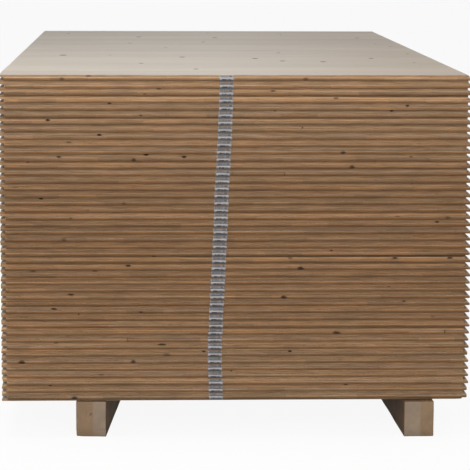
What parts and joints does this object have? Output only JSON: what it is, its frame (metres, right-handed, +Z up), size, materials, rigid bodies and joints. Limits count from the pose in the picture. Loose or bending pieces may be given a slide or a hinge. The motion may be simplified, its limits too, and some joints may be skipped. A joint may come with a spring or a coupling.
{
  "type": "stack of three-layer panels",
  "caption": "Stack of three-layer softwood panels, tongued and grooved on four sides, with small edge labels, lying on two squared timber bearers.",
  "frame": {"origin": "on the ground at the middle of the whole stack's footprint", "axes": "+X to the right along the front edges, +Y from the front to the back along the panels' length, +Z up"},
  "size_m": [1.2336, 2.4677, 0.9555],
  "materials": {
    "face_wood": "sanded bare softwood, slightly greyed",
    "core_wood": "milled bare softwood",
    "label_paper": "matt paper with plain grey print",
    "bearer_wood": "rough sawn, weathered softwood"
  },
  "bodies": {
    "root": {"top_layers": "face_wood", "core_layers": "core_wood", "bottom_layers": "face_wood", "edge_labels": "label_paper", "bearer_left": "bearer_wood", "bearer_right": "bearer_wood"}
  },
  "joints": []
}
